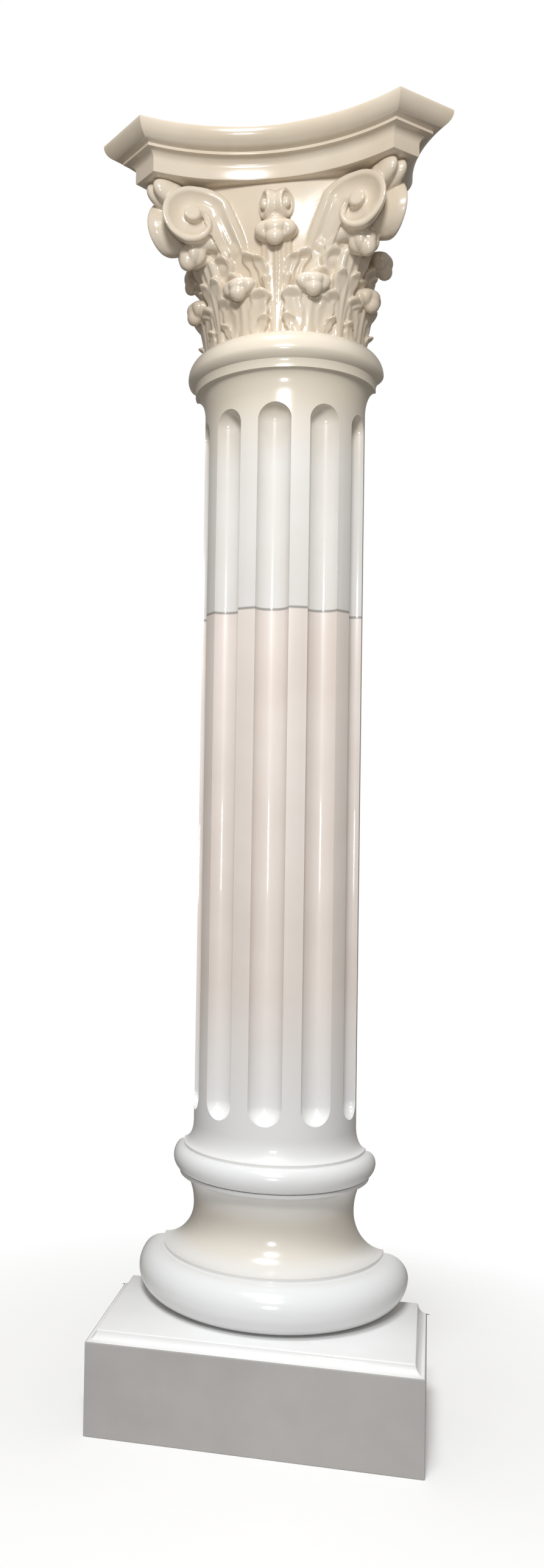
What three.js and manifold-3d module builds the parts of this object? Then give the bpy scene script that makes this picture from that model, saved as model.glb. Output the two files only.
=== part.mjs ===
// A plaster half column of the Corinthian order, cut off flat at the wall behind it.
// Units are millimetres, +Z is up and the front faces -Y. The origin is the middle of the
// plinth's underside. The solids are first laid out about the column's axis, which runs up
// the plane of the flat back, and the whole column is then moved back by half the plinth's
// depth. Azimuths are in degrees from the front, positive towards +X.

import * as THREE from 'three';
import { mergeVertices } from 'three/addons/utils/BufferGeometryUtils.js';
import Module from 'manifold-3d';

const wasm = await Module();
wasm.setup();

// Heights of the five castings, stacked from the floor.
const plinthHeight = 207;
const baseHeight = 317;
const lowerDrumHeight = 1168;
const upperDrumHeight = 586;
const capitalHeight = 396;

// Plinth: a square slab whose top edge is a hollow moulding.
const plinthHalfWidth = 335;
const plinthDepth = 335;
const plinthMouldHeight = 20;
const plinthMouldInset = 19;

// Attic base: lower torus, hollow, upper torus.
const shaftRadius = 179;
const lowerTorusHeight = 100;
const lowerTorusBulge = 50;
const lowerTorusSeat = 65;
const lowerFilletHeight = 7;
const upperTorusHeight = 52;
const upperTorusBulge = 20;
const upperTorusSeat = 23;
const upperFilletHeight = 8;
const upperFilletInset = -6;
const throatInset = 3;
const lipEase = 3;
const throatShare = 0.52;

// Shaft: flare and fillet at the foot, flutes, flare, fillet and astragal at the neck.
const footFilletHeight = 6;
const footFilletReach = 21;
const footFlareHeight = 45;
const neckFlareHeight = 50;
const neckFlareReach = 20;
const neckFilletHeight = 12;
const neckFilletReach = 23;
const astragalHeight = 70;
const astragalReach = 40;
const astragalTopRadius = 176;
const astragalWidestShare = 0.37;
const astragalUndercut = 50;
const fluteRadius = 36;
const fluteSpacing = 36;
const fluteCountEachSide = 2;
const fluteBottomClearance = 78;
const fluteTopClearance = 148;
const seamBevel = 3;

// Abacus: concave sides between cut-off horns, moulded below its top edge.
const abacusHollowRadius = 435;
const abacusWaist = 219;
const abacusHornReach = 383;
const fasciaHeight = 26;
const fasciaEase = 3;
const cavettoHeight = 16;
const cavettoReach = 20;
const abacusFilletHeight = 6;
const abacusFilletReach = 3;
const ovoloHeight = 32;
const ovoloReach = 35;
const ovoloTurn = 75;
const abacusTopEase = 3;

// Bell of the capital, which the leaves and volutes stand on.
const bellFootRadius = 173;
const bellTopRadius = 184;

// Acanthus leaves: height of the top above the astragal, reach of the curled tip from the
// axis, half width of the stem, and half width, height and depth of the curled tip.
const lowerLeafRise = 126;
const lowerLeafReach = 216;
const lowerLeafHalfWidth = 20;
const lowerTipHalfWidth = 38;
const lowerTipHalfHeight = 29;
const middleLeafRise = 232;
const middleLeafReach = 228;
const middleLeafHalfWidth = 27;
const middleTipHalfWidth = 60;
const middleTipHalfHeight = 28;
const cornerLeafRise = 210;
const cornerLeafReach = 292;
const cornerLeafHalfWidth = 30;
const cornerTipHalfWidth = 80;
const cornerTipHalfHeight = 34;
const tipHalfDepth = 20;
const tipLobeCount = 5;
const tipPinch = 0.8;
const tipEndShare = 0.45;
const tipTaper = 0.3;
const tipBend = 0.3;
const tipLean = 0.35;
const tipFacets = 6;
const pipeDepth = 5;
const lobeRoundedFrom = 0.75;
const lobeSway = 1.3;
const lobeCrown = 0.7;
const leafColumns = 72;
const leafLevels = 14;
const bareLevels = 2;

// Corner volutes, laid out on the hollow face of the abacus: distance along it and drop.
const voluteEyeAcross = 171;
const voluteEyeDrop = 71;
const voluteRadius = 60;
const voluteSetback = 10;
const voluteRimThickness = 20;
const voluteValleyShare = 0.3;
const voluteEyeRadius = 16;
const voluteEyeProud = 8;
const voluteEyeEase = 3;
const voluteChannelDepth = 11;
const channelEdgeShare = 0.7;
const channelMiddle = 0.45;
const rimFrom = 0.78;
const stalkRootAcross = 40;
const stalkRootWidth = 62;
const stalkRootDrop = 200;
const stalkRootSink = 56;
const stalkSinkPower = 1.3;
const stalkSpread = 0.3;
const stalkCurve = 1.25;

// Small double scroll above the middle leaf, and the tongue below each horn.
const scrollRadius = 31;
const scrollThickness = 16;
const scrollSpread = 24;
const scrollFaceAzimuth = 65;
const scrollDrop = 44;
const scrollReach = 204;
const scrollFacets = 12;
const scrollTaper = 0.8;
const scrollNarrowing = 0.85;
const scrollButtonRadius = 8;
const scrollButtonHalfHeight = 9;
const scrollButtonProud = 2;
const saddleSetback = 8;
const saddleHalfDepth = 34;
const saddleLift = 6;
const tongueReach = 336;
const tongueHalfLength = 46;
const tongueHalfWidth = 27;
const tongueHalfHeight = 27;
const tongueDrop = 22;

// Facets of the round forms.
const turnFacets = 36;
const arcSteps = 4;
const stalkSteps = 3;
const scrollSteps = 14;
const eyeFacets = 9;
const fluteFacets = 10;
const fluteEndSteps = 3;

// Angles at which the scroll leaves its stalk and through which it winds, and small laps.
const scrollStart = 155;
const scrollSweep = 385;
const windStart = -75;
const windSpan = 150;
const windEase = 0.6;
const spreadFrom = 95;
const spreadPower = 1.5;
const windLap = 3;
const cornerLap = 4;

const plinthTop = plinthHeight;
const baseTop = plinthTop + baseHeight;
const seamLevel = baseTop + lowerDrumHeight;
const neckTop = seamLevel + upperDrumHeight;
const capitalTop = neckTop + capitalHeight;
const ovoloTopLevel = capitalTop - abacusTopEase;
const abacusSoffit = ovoloTopLevel - ovoloHeight - abacusFilletHeight - cavettoHeight - fasciaHeight;

const radians = THREE.MathUtils.degToRad;

function onAzimuth(azimuth, radius, z) {
  const angle = radians(azimuth);
  return new THREE.Vector3(radius * Math.sin(angle), -radius * Math.cos(angle), z);
}

// Points of a quarter or half ellipse in a profile, from one angle to another.
function profileArc(centreRadius, centreZ, reach, rise, from, to, steps = arcSteps) {
  const points = [];
  for (let i = 0; i <= steps; i++) {
    const angle = radians(THREE.MathUtils.lerp(from, to, i / steps));
    const radius = centreRadius + reach * Math.cos(angle);
    points.push(new THREE.Vector2(radius, centreZ + rise * Math.sin(angle)));
  }
  return points;
}

// A closed solid from a geometry: shared corners merged, empty triangles dropped.
function solidFrom(geometry) {
  geometry.deleteAttribute('normal');
  geometry.deleteAttribute('uv');
  const merged = mergeVertices(geometry, 1e-3);
  const index = merged.index.array;
  const corners = [];
  for (let i = 0; i < index.length; i += 3) {
    const [a, b, c] = [index[i], index[i + 1], index[i + 2]];
    if (a !== b && b !== c && c !== a) corners.push(a, b, c);
  }
  const vertProperties = new Float32Array(merged.attributes.position.array);
  const triVerts = new Uint32Array(corners);
  return new wasm.Manifold(new wasm.Mesh({ numProp: 3, vertProperties, triVerts }));
}

// A solid skinned over rings of points, each ring counter-clockwise seen from its end.
function loft(rings) {
  const count = rings[0].length;
  const positions = [];
  const corners = [];
  for (const ring of rings) {
    for (const point of ring) positions.push(point.x, point.y, point.z);
  }
  for (let i = 0; i + 1 < rings.length; i++) {
    for (let j = 0; j < count; j++) {
      const a = i * count + j;
      const b = i * count + (j + 1) % count;
      corners.push(a, b, b + count, a, b + count, a + count);
    }
  }
  for (const start of [0, rings.length - 1]) {
    const ring = rings[start];
    const middle = positions.length / 3;
    const centre = ring.reduce((sum, point) => sum.add(point), new THREE.Vector3());
    centre.divideScalar(count);
    positions.push(centre.x, centre.y, centre.z);
    for (let j = 0; j < count; j++) {
      const a = start * count + j;
      const b = start * count + (j + 1) % count;
      corners.push(...(start === 0 ? [middle, b, a] : [middle, a, b]));
    }
  }
  const geometry = new THREE.BufferGeometry();
  geometry.setAttribute('position', new THREE.Float32BufferAttribute(positions, 3));
  geometry.setIndex(corners);
  const solid = solidFrom(geometry);
  if (solid.volume() > 0) return solid;
  for (let i = 0; i < corners.length; i += 3) {
    [corners[i + 1], corners[i + 2]] = [corners[i + 2], corners[i + 1]];
  }
  geometry.setIndex(corners);
  return solidFrom(geometry);
}

// A round body turned about the column's axis from a profile of radius and height.
function turned(profile) {
  const geometry = new THREE.LatheGeometry(profile, turnFacets);
  geometry.rotateX(Math.PI / 2);
  return solidFrom(geometry);
}

function box(width, depth, height, x, y, z) {
  const geometry = new THREE.BoxGeometry(width, depth, height);
  geometry.translate(x, y, z);
  return solidFrom(geometry);
}

// An egg shape with half axes across, outwards and up, leaned over sideways and outwards.
function egg(azimuth, radius, z, across, outward, up, sideLean = 0, outLean = 0, facets = [6, 4]) {
  const geometry = new THREE.SphereGeometry(1, ...facets);
  geometry.rotateX(Math.PI / 2);
  geometry.scale(across, outward, up);
  geometry.rotateX(radians(outLean));
  geometry.rotateY(radians(sideLean));
  geometry.translate(0, -radius, z);
  geometry.rotateZ(radians(azimuth));
  return solidFrom(geometry);
}

function joined(solids) {
  return solids.reduce((whole, solid) => whole.add(solid));
}

// What lies in front of the flat back.
function cutAtWall(solid) {
  const size = 2 * capitalTop;
  return solid.subtract(box(size, size, 2 * size, 0, size / 2, 0));
}

function meshOf(name, solid, colour, roughness) {
  const { vertProperties, triVerts } = solid.getMesh();
  const geometry = new THREE.BufferGeometry();
  const corners = new Float32Array(vertProperties);
  geometry.setAttribute('position', new THREE.BufferAttribute(corners, 3));
  geometry.setIndex([...triVerts]);
  geometry.computeVertexNormals();
  const material = new THREE.MeshStandardMaterial({ color: colour, roughness, metalness: 0 });
  const mesh = new THREE.Mesh(geometry, material);
  mesh.name = name;
  return mesh;
}

// Plinth: the hollow moulding is a quarter round taken out of the top edge.
function plinthSolid() {
  const rings = [];
  const ringAt = (inset, z) => {
    const halfWidth = plinthHalfWidth - inset;
    const front = -(plinthDepth - inset);
    return [[-halfWidth, 0], [-halfWidth, front], [halfWidth, front], [halfWidth, 0]]
      .map(([x, y]) => new THREE.Vector3(x, y, z));
  };
  rings.push(ringAt(0, 0));
  for (let i = 0; i <= arcSteps; i++) {
    const angle = radians(90 * i / arcSteps);
    const inset = plinthMouldInset * Math.sin(angle);
    rings.push(ringAt(inset, plinthHeight - plinthMouldHeight * Math.cos(angle)));
  }
  return loft(rings);
}

// Base: two tori with a hollow between them.
function baseSolid() {
  const lowerSeat = shaftRadius + lowerTorusSeat;
  const lowerTop = plinthTop + lowerTorusHeight;
  const hollowFoot = lowerTop + lowerFilletHeight;
  const upperSeat = shaftRadius + upperTorusSeat;
  const upperFoot = baseTop - upperTorusHeight;
  const hollowHead = upperFoot - upperFilletHeight;
  const throat = shaftRadius - throatInset;
  const lipRadius = upperSeat - upperFilletInset;
  const throatLevel = THREE.MathUtils.lerp(hollowFoot, hollowHead, throatShare);
  const lowerMiddle = (plinthTop + lowerTop) / 2;
  const upperMiddle = (upperFoot + baseTop) / 2;
  const lipFoot = lowerSeat - lipEase;
  const profile = [
    new THREE.Vector2(0, plinthTop),
    ...profileArc(lowerSeat, lowerMiddle, lowerTorusBulge, lowerTorusHeight / 2, -90, 90, 2 * arcSteps),
    new THREE.Vector2(lipFoot, lowerTop),
    ...profileArc(lipFoot, throatLevel, throat - lipFoot, hollowFoot - throatLevel, 90, 0),
    ...profileArc(lipRadius, throatLevel, throat - lipRadius, hollowHead - throatLevel, 0, 90).slice(1),
    new THREE.Vector2(lipRadius, upperFoot),
    ...profileArc(upperSeat, upperMiddle, upperTorusBulge, upperTorusHeight / 2, -90, 90, 2 * arcSteps - 2),
    new THREE.Vector2(0, baseTop),
  ];
  return cutAtWall(turned(profile));
}

// One flute: a round hollow with ball ends, centred on the shaft's surface.
function fluteCutter(azimuth, bottom, top) {
  const rings = [];
  const ringAt = (radius, z) => {
    const ring = [];
    for (let i = 0; i < fluteFacets; i++) {
      const angle = 2 * Math.PI * i / fluteFacets;
      const outward = -shaftRadius - radius * Math.cos(angle);
      const point = new THREE.Vector3(radius * Math.sin(angle), outward, z);
      ring.push(point.applyAxisAngle(new THREE.Vector3(0, 0, 1), radians(azimuth)));
    }
    return ring;
  };
  for (let i = 0; i <= fluteEndSteps; i++) {
    const angle = Math.PI / 2 * (i + 1) / (fluteEndSteps + 1);
    rings.push(ringAt(fluteRadius * Math.sin(angle), bottom + fluteRadius * (1 - Math.cos(angle))));
  }
  for (let i = fluteEndSteps; i >= 0; i--) {
    const angle = Math.PI / 2 * (i + 1) / (fluteEndSteps + 1);
    rings.push(ringAt(fluteRadius * Math.sin(angle), top - fluteRadius * (1 - Math.cos(angle))));
  }
  return loft(rings);
}

function fluteCutters() {
  const cutters = [];
  for (let i = -fluteCountEachSide; i <= fluteCountEachSide; i++) {
    const bottom = baseTop + fluteBottomClearance;
    cutters.push(fluteCutter(i * fluteSpacing, bottom, neckTop - fluteTopClearance));
  }
  return joined(cutters);
}

function lowerDrumSolid(flutes) {
  const filletRadius = shaftRadius + footFilletReach;
  const flareFoot = baseTop + footFilletHeight;
  const flareTop = flareFoot + footFlareHeight;
  const profile = [
    new THREE.Vector2(0, baseTop),
    new THREE.Vector2(filletRadius, baseTop),
    ...profileArc(filletRadius, flareTop, -footFilletReach, -footFlareHeight, 90, 0),
    new THREE.Vector2(shaftRadius, seamLevel - seamBevel),
    new THREE.Vector2(shaftRadius - seamBevel, seamLevel),
    new THREE.Vector2(0, seamLevel),
  ];
  return cutAtWall(turned(profile).subtract(flutes));
}

function upperDrumSolid(flutes) {
  const astragalFoot = neckTop - astragalHeight;
  const filletFoot = astragalFoot - neckFilletHeight;
  const flareFoot = filletFoot - neckFlareHeight;
  const flareRadius = shaftRadius + neckFlareReach;
  const filletRadius = shaftRadius + neckFilletReach;
  const widest = astragalFoot + astragalWidestShare * astragalHeight;
  const profile = [
    new THREE.Vector2(0, seamLevel),
    new THREE.Vector2(shaftRadius - seamBevel, seamLevel),
    new THREE.Vector2(shaftRadius, seamLevel + seamBevel),
    ...profileArc(flareRadius, flareFoot, -neckFlareReach, neckFlareHeight, 0, 90),
    new THREE.Vector2(filletRadius, filletFoot),
    new THREE.Vector2(filletRadius, astragalFoot),
    ...profileArc(shaftRadius, widest, astragalReach, widest - astragalFoot, -astragalUndercut, 0, 2),
    ...profileArc(shaftRadius, widest, astragalReach, neckTop - widest, 0, 90, 5).slice(1),
    new THREE.Vector2(astragalTopRadius, neckTop),
    new THREE.Vector2(0, neckTop),
  ];
  return cutAtWall(turned(profile).subtract(flutes));
}

// Distance of the abacus face from the axis, at a place across it.
function hollowFace(across, outward = 0) {
  const sag = abacusHollowRadius - Math.sqrt(abacusHollowRadius ** 2 - across ** 2);
  return abacusWaist + outward + sag;
}

// Half width of the hollow face where it meets the horn's cut.
function hornAcross(outward) {
  const reach = (abacusHornReach + outward) * Math.SQRT2;
  let across = 0;
  let step = abacusHollowRadius / 2;
  while (step > 1e-4) {
    if (across + step + hollowFace(across + step, outward) < reach) across += step;
    step /= 2;
  }
  return across;
}

function abacusSolid() {
  const faceSteps = 10;
  const sideSteps = 5;
  const ringAt = (outward, z) => {
    const horn = hornAcross(outward);
    const ring = [];
    for (let i = 0; i <= sideSteps; i++) {
      const across = horn * i / sideSteps;
      ring.push(new THREE.Vector3(hollowFace(across, outward), -across, z));
    }
    for (let i = 0; i <= faceSteps; i++) {
      const across = horn * (1 - 2 * i / faceSteps);
      ring.push(new THREE.Vector3(across, -hollowFace(across, outward), z));
    }
    for (let i = sideSteps; i >= 0; i--) {
      const across = horn * i / sideSteps;
      ring.push(new THREE.Vector3(-hollowFace(across, outward), -across, z));
    }
    return ring;
  };
  const cavettoFoot = abacusSoffit + fasciaHeight;
  const filletFoot = cavettoFoot + cavettoHeight;
  const filletTop = filletFoot + abacusFilletHeight;
  const filletReach = cavettoReach + abacusFilletReach;
  const ovoloTop = ovoloTopLevel;
  const levels = [[-fasciaEase, abacusSoffit], [0, abacusSoffit + fasciaEase]];
  for (const point of profileArc(cavettoReach, cavettoFoot, -cavettoReach, cavettoHeight, 0, 90, 3)) {
    levels.push([point.x, point.y]);
  }
  levels.push([filletReach, filletFoot], [filletReach, filletTop]);
  for (const point of profileArc(filletReach, ovoloTop, ovoloReach, -ovoloHeight, ovoloTurn, 0, 4)) {
    levels.push([point.x, point.y]);
  }
  levels.push([filletReach + ovoloReach - abacusTopEase, capitalTop]);
  return loft(levels.map(([outward, z]) => ringAt(outward, z)));
}

// Acanthus leaves. Each is a stem that stands out further as it rises, with rounded side
// lobes that lean away from it. A lobe is given by the turn of its root and of its top from
// the stem, its root and top height, its half width at root and top, how far it stands
// proud of the bell at root and top, and its grooves. Turns are degrees, heights are shares
// of the leaf's rise, widths and prouds are shares of its half width.
const lowerLobes = [
  { turn: [0, 0], height: [0, 0.92], width: [0.9, 1.4], proud: [0.5, 1.4], swell: 2, grooves: 1 },
  { turn: [7.5, 12.5], height: [0, 0.76], width: [0.9, 1.5], proud: [0.5, 1.5], swell: 1.1, grooves: 0 },
  { turn: [15, 20], height: [0, 0.58], width: [0.7, 1.2], proud: [0.4, 1.2], swell: 1, grooves: 0 },
];
const middleLobes = [
  { turn: [0, 0], height: [0, 0.92], width: [0.6, 1.3], proud: [0.4, 1.5], swell: 2.2, grooves: 1 },
  { turn: [7.5, 12.5], height: [0.1, 0.7], width: [0.6, 1.05], proud: [0.45, 1.25], swell: 1.1, grooves: 0 },
  { turn: [12.5, 20], height: [0.1, 0.8], width: [0.6, 1.15], proud: [0.45, 1.6], swell: 1.2, grooves: 0 },
];
const cornerLobes = [
  { turn: [0, 0], height: [0, 0.9], width: [0.8, 1.5], proud: [0.4, 3.3], swell: 1.9, grooves: 1 },
  { turn: [5, 7.5], height: [0.1, 0.9], width: [0.6, 1.1], proud: [0.4, 2.7], swell: 1.8, grooves: 0 },
  { turn: [10, 15], height: [0.1, 0.78], width: [0.6, 1.05], proud: [0.4, 2], swell: 1.4, grooves: 0 },
];

const lowerLeaf = {
  rise: lowerLeafRise, reach: lowerLeafReach, halfWidth: lowerLeafHalfWidth, lobes: lowerLobes,
  tipHalfWidth: lowerTipHalfWidth, tipHalfHeight: lowerTipHalfHeight,
};
const middleLeaf = {
  rise: middleLeafRise, reach: middleLeafReach, halfWidth: middleLeafHalfWidth, lobes: middleLobes,
  tipHalfWidth: middleTipHalfWidth, tipHalfHeight: middleTipHalfHeight,
};
const cornerLeaf = {
  rise: cornerLeafRise, reach: cornerLeafReach, halfWidth: cornerLeafHalfWidth, lobes: cornerLobes,
  tipHalfWidth: cornerTipHalfWidth, tipHalfHeight: cornerTipHalfHeight,
};
const leaves = [
  ...[-67.5, -22.5, 22.5, 67.5].map((azimuth) => ({ azimuth, ...lowerLeaf })),
  ...[-90, 0, 90].map((azimuth) => ({ azimuth, ...middleLeaf })),
  ...[-45, 45].map((azimuth) => ({ azimuth, ...cornerLeaf })),
];

// How far one lobe stands proud of the bell at a turn from its leaf's stem and a height.
function lobeProud(lobe, leaf, turn, height) {
  const { lerp } = THREE.MathUtils;
  const [root, top] = lobe.height;
  const t = (height / leaf.rise - root) / (top - root);
  if (t < 0 || t > 1) return 0;
  const beyond = Math.max(0, (t - lobeRoundedFrom) / (1 - lobeRoundedFrom));
  const rounded = Math.sqrt(Math.max(0, 1 - beyond ** 2));
  const halfWidth = leaf.halfWidth * lerp(...lobe.width, t) * rounded;
  const halfTurn = THREE.MathUtils.radToDeg(halfWidth / bellTopRadius);
  const centre = lerp(...lobe.turn, t ** lobeSway);
  const across = (turn - centre) / Math.max(halfTurn, 0.01);
  if (Math.abs(across) > 1) return 0;
  const proud = leaf.halfWidth * lerp(...lobe.proud, t ** lobe.swell);
  const crown = Math.cos(across * Math.PI / 2) ** lobeCrown;
  const groove = lobe.grooves * pipeDepth * (1 - Math.cos(2 * Math.PI * across)) / 2;
  return Math.max(0, proud * crown - groove);
}

// Distance of the leafy surface from the axis.
function leafyRadius(azimuth, z) {
  const bellHeight = abacusSoffit - neckTop;
  const height = z - neckTop;
  const bell = bellFootRadius + (bellTopRadius - bellFootRadius) * (height / bellHeight) ** 2;
  let proud = 0;
  for (const leaf of leaves) {
    const turn = Math.abs(azimuth - leaf.azimuth);
    for (const lobe of leaf.lobes) proud = Math.max(proud, lobeProud(lobe, leaf, turn, height));
  }
  return bell + proud;
}

// The bell and its leaves, skinned over level rings that close along the flat back.
function leafyBell() {
  const rings = [];
  const top = abacusSoffit + abacusFilletHeight;
  const leafTop = neckTop + middleLeafRise;
  for (let i = 0; i <= leafLevels + bareLevels; i++) {
    const z = i <= leafLevels
      ? THREE.MathUtils.lerp(neckTop, leafTop, i / leafLevels)
      : THREE.MathUtils.lerp(leafTop, top, (i - leafLevels) / bareLevels);
    const ring = [];
    for (let k = 0; k <= leafColumns; k++) {
      const azimuth = 180 * k / leafColumns - 90;
      ring.push(onAzimuth(azimuth, leafyRadius(azimuth, z), z));
    }
    rings.push(ring);
  }
  return loft(rings);
}

// The curled-over tips, each skinned over upright rings from one end of the roll to the
// other. A tip swells into round lobes, the middle one largest, and its ends bend back.
function leafTips() {
  const tips = [];
  const steps = 2 * tipLobeCount;
  for (const leaf of leaves) {
    const rings = [];
    for (let i = 0; i <= steps; i++) {
      const share = 2 * i / steps - 1;
      const bend = share ** 2;
      const lobed = i % 2 === 1 ? 1 : tipPinch;
      const size = (i === 0 || i === steps ? tipEndShare : lobed) * (1 - tipTaper * bend);
      const middle = leaf.reach - tipHalfDepth - tipBend * leaf.tipHalfWidth * bend;
      const z = neckTop + leaf.rise - leaf.tipHalfHeight * (1 + tipTaper * bend);
      const turn = leaf.azimuth + THREE.MathUtils.radToDeg(share * leaf.tipHalfWidth / leaf.reach);
      const ring = [];
      for (let k = 0; k < tipFacets; k++) {
        const angle = 2 * Math.PI * (k + 0.5) / tipFacets;
        const out = tipHalfDepth * size * Math.cos(angle);
        const up = leaf.tipHalfHeight * size * Math.sin(angle);
        ring.push(onAzimuth(turn, middle + out - tipLean * up, z + up));
      }
      rings.push(ring);
    }
    tips.push(loft(rings));
  }
  return joined(tips);
}

// Outer edge of a volute, as an angle and distance about its eye. It runs round at one
// radius, then winds in towards the eye; on the stalk's side it spreads outwards.
function voluteEdge(angle) {
  const wound = THREE.MathUtils.clamp((windStart - angle) / windSpan, 0, 1) * Math.PI / 2;
  const spread = THREE.MathUtils.clamp((angle - spreadFrom) / (scrollStart - spreadFrom), 0, 1);
  const inward = Math.sin(wound) * (1 - windEase * Math.cos(wound));
  const edge = voluteRadius * (1 + stalkSpread * spread ** spreadPower);
  return edge - (voluteRadius - voluteEyeRadius) * inward;
}

// One scroll with its stalk, from the front face back to the upright plane through the
// corner, where it meets its twin. It is a channelled band with a raised outer rim; its
// outer edge is hollowed behind the rim, so that a valley runs between the twins.
function voluteSolid() {
  const { lerp } = THREE.MathUtils;
  const eyeZ = abacusSoffit - voluteEyeDrop;
  const rootZ = abacusSoffit - stalkRootDrop;
  const polar = (angle, distance) => {
    const turn = radians(angle);
    return [voluteEyeAcross + distance * Math.cos(turn), eyeZ + distance * Math.sin(turn)];
  };
  const between = (from, to, share) => [lerp(from[0], to[0], share), lerp(from[1], to[1], share)];
  const infront = ([across, z], depth) => (
    new THREE.Vector3(across, depth - hollowFace(across, -voluteSetback), z)
  );
  const behind = ([across, z]) => new THREE.Vector3(across, cornerLap - across, z);
  const bandRing = (inner, outer, valley, sink = 0) => [
    infront(inner, sink + voluteChannelDepth * channelEdgeShare),
    infront(between(inner, outer, channelMiddle), sink + voluteChannelDepth),
    infront(between(inner, outer, rimFrom), sink),
    infront(outer, sink + windLap),
    infront(outer, sink + voluteRimThickness),
    behind(between(inner, outer, valley)),
    behind(inner),
  ];

  const rings = [];
  const start = polar(scrollStart, voluteEdge(scrollStart));
  for (let i = 0; i < stalkSteps; i++) {
    const t = i / stalkSteps;
    const outer = [lerp(stalkRootAcross, start[0], t ** stalkCurve), lerp(rootZ, start[1], t)];
    const inner = [
      lerp(stalkRootAcross + stalkRootWidth, voluteEyeAcross - voluteEyeRadius, t),
      lerp(rootZ, eyeZ, t),
    ];
    rings.push(bandRing(inner, outer, 1, stalkRootSink * (1 - t) ** stalkSinkPower));
  }
  for (let i = 0; i <= scrollSteps; i++) {
    const angle = scrollStart - scrollSweep * i / scrollSteps;
    const lapped = angle - 360 > scrollStart - scrollSweep;
    const inner = (lapped ? voluteEdge(angle - 360) : voluteEyeRadius) - windLap;
    rings.push(bandRing(polar(angle, inner), polar(angle, voluteEdge(angle)), 1 - voluteValleyShare));
  }
  const parting = stalkSteps + scrollSteps / 2;

  const eyeRing = (size, depth) => {
    const ring = [];
    for (let i = 0; i < eyeFacets; i++) {
      const point = polar(360 * i / eyeFacets, size * voluteEyeRadius);
      ring.push(depth === null ? behind(point) : infront(point, depth));
    }
    return ring;
  };
  const eye = [
    eyeRing(1, null),
    eyeRing(1, voluteEyeEase - voluteEyeProud),
    eyeRing(1 - voluteEyeEase / voluteEyeRadius, -voluteEyeProud),
  ];
  return joined([loft(rings.slice(0, parting + 1)), loft(rings.slice(parting)), loft(eye)]);
}

// The four scrolls: one on the front face of each horn and its twin on the side face.
function voluteSet() {
  const right = voluteSolid();
  const rightTwin = right.transform([0, -1, 0, 0, -1, 0, 0, 0, 0, 0, 1, 0, 0, 0, 0, 1]);
  const tongueLevel = abacusSoffit - tongueDrop;
  const tongue = egg(45, tongueReach, tongueLevel, tongueHalfWidth, tongueHalfLength, tongueHalfHeight);
  const corner = joined([right, rightTwin, tongue]);
  return corner.add(corner.mirror([1, 0, 0]));
}

// The double scroll over the middle leaf: two discs that face sideways, each with a round
// button, and a saddle between them.
function doubleScroll() {
  const z = abacusSoffit - scrollDrop;
  const saddleReach = scrollReach - saddleSetback;
  const saddleHalfHeight = scrollRadius * scrollTaper;
  const parts = [egg(0, saddleReach, z + saddleLift, scrollSpread, saddleHalfDepth, saddleHalfHeight)];
  for (const side of [-1, 1]) {
    const face = scrollRadius * scrollTaper;
    const disc = new THREE.CylinderGeometry(face, scrollRadius, scrollThickness, scrollFacets);
    disc.rotateZ(-Math.PI / 2);
    disc.scale(1, scrollNarrowing, 1);
    disc.rotateZ(-radians(90 - scrollFaceAzimuth));
    if (side < 0) disc.scale(-1, 1, 1).index.array.reverse();
    disc.translate(side * scrollSpread, -scrollReach, z);
    parts.push(solidFrom(disc));
    const button = egg(0, 0, 0, scrollButtonRadius, scrollButtonRadius, scrollButtonHalfHeight);
    const across = side * (scrollSpread + scrollThickness / 2);
    parts.push(button.translate([across, -scrollReach - scrollButtonProud, z]));
  }
  return joined(parts);
}

function capitalSolid() {
  const carving = joined([leafyBell(), leafTips(), voluteSet(), doubleScroll()]);
  const below = box(2 * capitalTop, 2 * capitalTop, neckTop, 0, 0, neckTop / 2);
  return cutAtWall(carving.add(abacusSolid()).subtract(below));
}

const flutes = fluteCutters();
const column = new THREE.Group();
column.add(
  meshOf('plinth', plinthSolid(), 0x9c9389, 0.55),
  meshOf('base', baseSolid(), 0xe9e1d4, 0.25),
  meshOf('lower_drum', lowerDrumSolid(flutes), 0xe9e1d4, 0.25),
  meshOf('upper_drum', upperDrumSolid(flutes), 0xe9e1d4, 0.25),
  meshOf('capital', capitalSolid(), 0xece4d6, 0.22),
);

column.position.y = plinthDepth / 2;

export default column;
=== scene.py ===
from math import cos, degrees, pi, radians, sin, sqrt

import bmesh
import bpy
from mathutils import Matrix, Vector


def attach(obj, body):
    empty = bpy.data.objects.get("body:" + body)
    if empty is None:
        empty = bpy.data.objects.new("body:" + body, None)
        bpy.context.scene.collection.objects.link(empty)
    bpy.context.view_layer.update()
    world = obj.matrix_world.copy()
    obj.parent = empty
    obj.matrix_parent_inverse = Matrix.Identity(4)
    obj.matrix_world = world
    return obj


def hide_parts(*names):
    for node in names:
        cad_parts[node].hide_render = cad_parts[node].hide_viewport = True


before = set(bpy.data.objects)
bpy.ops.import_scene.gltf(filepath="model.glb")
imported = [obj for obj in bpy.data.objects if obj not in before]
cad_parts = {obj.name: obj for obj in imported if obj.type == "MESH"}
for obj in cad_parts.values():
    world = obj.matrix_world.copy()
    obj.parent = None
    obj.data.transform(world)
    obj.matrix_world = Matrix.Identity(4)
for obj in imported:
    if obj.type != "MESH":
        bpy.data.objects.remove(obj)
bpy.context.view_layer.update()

# The camera stands where the photograph was taken from, to the right of the column and
# level with a little under half of its height, and is rolled by about a degree.
camera_place = Vector((0.3407, -2.6201, 1.2315))
camera_right = Vector((0.97563546, 0.21867742, 0.01776599)).normalized()
camera_forward = Vector((-0.21914714, 0.97519056, 0.03127139)).normalized()
camera_up = camera_right.cross(camera_forward).normalized()
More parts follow.
